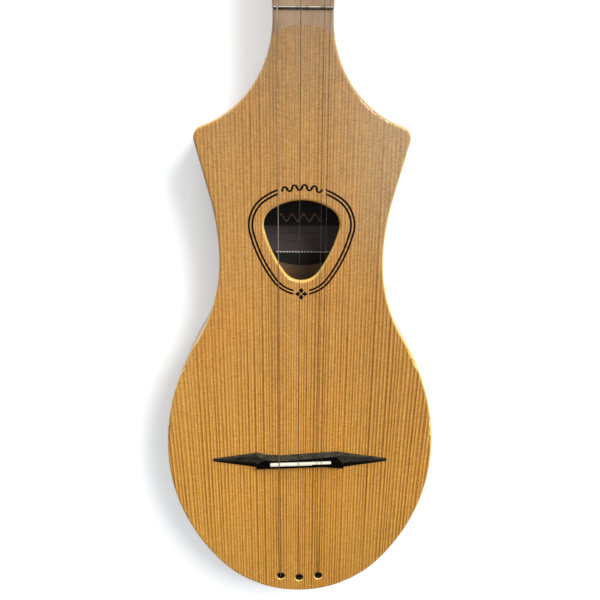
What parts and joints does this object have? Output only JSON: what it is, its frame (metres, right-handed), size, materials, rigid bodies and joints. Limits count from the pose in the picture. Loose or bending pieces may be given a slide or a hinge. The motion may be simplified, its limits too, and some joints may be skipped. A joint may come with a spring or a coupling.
{
  "type": "stick dulcimer",
  "caption": "Fretted stick dulcimer with a hollow maple body, spruce soundboard, slanted bridge, strings and geared tuners.",
  "frame": {"origin": "middle of the underside of the bounding box, with the instrument lying on its back", "axes": "+Y towards the headstock along the strings, +Z out of the soundboard, +X towards the treble strings' side"},
  "size_m": [0.1928, 0.814, 0.0498],
  "materials": {
    "spruce": "satin lacquer over straight fine grain",
    "maple": "semi-matte lacquer",
    "inner_spruce": "bare wood",
    "label_paper": "matte print",
    "ring_ink": "flush black line",
    "bridge_black": "satin",
    "bone_white": "polished",
    "black_plastic": "satin",
    "nickel_silver": "polished",
    "string_steel": "plain drawn wire",
    "string_wound": "close-wound wire",
    "nickel_plate": "nickel plated",
    "gear_brass": "machined",
    "button_black": "polished"
  },
  "bodies": {
    "instrument": {"body": "maple", "neck": "maple", "soundboard": "spruce", "cross_braces": "inner_spruce", "bridge_plate": "maple", "label": "label_paper", "rosette_rings": "ring_ink", "rosette_ornaments": "ring_ink", "side_dots": "ring_ink", "nut": "bone_white", "saddle": "bone_white", "bridge": "bridge_black", "string_bushings": "black_plastic", "back_ferrules": "nickel_plate", "string_ball_ends": "gear_brass", "tuner_screws": "nickel_plate", "fret_1": "nickel_silver", "fret_2": "nickel_silver", "fret_3": "nickel_silver", "fret_4": "nickel_silver", "fret_5": "nickel_silver", "fret_6": "nickel_silver", "fret_7": "nickel_silver", "fret_8": "nickel_silver", "bass_string": "string_wound", "bass_tuner_housing": "nickel_plate", "bass_post_bushing": "nickel_plate", "middle_string": "string_steel", "middle_tuner_housing": "nickel_plate", "middle_post_bushing": "nickel_plate", "treble_inner_string": "string_steel", "treble_inner_tuner_housing": "nickel_plate", "treble_inner_post_bushing": "nickel_plate", "treble_outer_string": "string_steel", "treble_outer_tuner_housing": "nickel_plate", "treble_outer_post_bushing": "nickel_plate"},
    "bass_key": {"bass_worm_shaft": "nickel_plate", "bass_tuner_button": "button_black"},
    "bass_post": {"bass_tuner_post": "nickel_plate", "bass_post_gear": "gear_brass", "bass_gear_screw": "nickel_plate", "bass_string_winding": "string_wound"},
    "middle_key": {"middle_worm_shaft": "nickel_plate", "middle_tuner_button": "button_black"},
    "middle_post": {"middle_tuner_post": "nickel_plate", "middle_post_gear": "gear_brass", "middle_gear_screw": "nickel_plate", "middle_string_winding": "string_steel"},
    "treble_inner_key": {"treble_inner_worm_shaft": "nickel_plate", "treble_inner_tuner_button": "button_black"},
    "treble_inner_post": {"treble_inner_tuner_post": "nickel_plate", "treble_inner_post_gear": "gear_brass", "treble_inner_gear_screw": "nickel_plate", "treble_inner_string_winding": "string_steel"},
    "treble_outer_key": {"treble_outer_worm_shaft": "nickel_plate", "treble_outer_tuner_button": "button_black"},
    "treble_outer_post": {"treble_outer_tuner_post": "nickel_plate", "treble_outer_post_gear": "gear_brass", "treble_outer_gear_screw": "nickel_plate", "treble_outer_string_winding": "string_steel"}
  },
  "joints": [
    {"name": "bass_key_spin", "type": "hinge", "parent": "instrument", "child": "bass_key", "pos_m": [-0.0155, 0.33432, 0.02139], "axis": [1, 0, 0], "continuous": true},
    {"name": "bass_post_spin", "type": "hinge", "parent": "instrument", "child": "bass_post", "pos_m": [-0.0155, 0.34102, 0.02447], "axis": [0, 0.1908, 0.9816], "continuous": true},
    {"name": "middle_key_spin", "type": "hinge", "parent": "instrument", "child": "middle_key", "pos_m": [-0.0125, 0.36966, 0.01452], "axis": [1, 0, 0], "continuous": true},
    {"name": "middle_post_spin", "type": "hinge", "parent": "instrument", "child": "middle_post", "pos_m": [-0.0125, 0.37636, 0.0176], "axis": [0, 0.1908, 0.9816], "continuous": true},
    {"name": "treble_inner_key_spin", "type": "hinge", "parent": "instrument", "child": "treble_inner_key", "pos_m": [0.0125, 0.36966, 0.01452], "axis": [1, 0, 0], "continuous": true},
    {"name": "treble_inner_post_spin", "type": "hinge", "parent": "instrument", "child": "treble_inner_post", "pos_m": [0.0125, 0.37636, 0.0176], "axis": [0, 0.1908, 0.9816], "continuous": true},
    {"name": "treble_outer_key_spin", "type": "hinge", "parent": "instrument", "child": "treble_outer_key", "pos_m": [0.0155, 0.33432, 0.02139], "axis": [1, 0, 0], "continuous": true},
    {"name": "treble_outer_post_spin", "type": "hinge", "parent": "instrument", "child": "treble_outer_post", "pos_m": [0.0155, 0.34102, 0.02447], "axis": [0, 0.1908, 0.9816], "continuous": true}
  ],
  "couplings": [
    {"joint": "bass_post_spin", "follows": "bass_key_spin", "ratio": -0.071429},
    {"joint": "middle_post_spin", "follows": "middle_key_spin", "ratio": -0.071429},
    {"joint": "treble_inner_post_spin", "follows": "treble_inner_key_spin", "ratio": -0.071429},
    {"joint": "treble_outer_post_spin", "follows": "treble_outer_key_spin", "ratio": -0.071429}
  ]
}
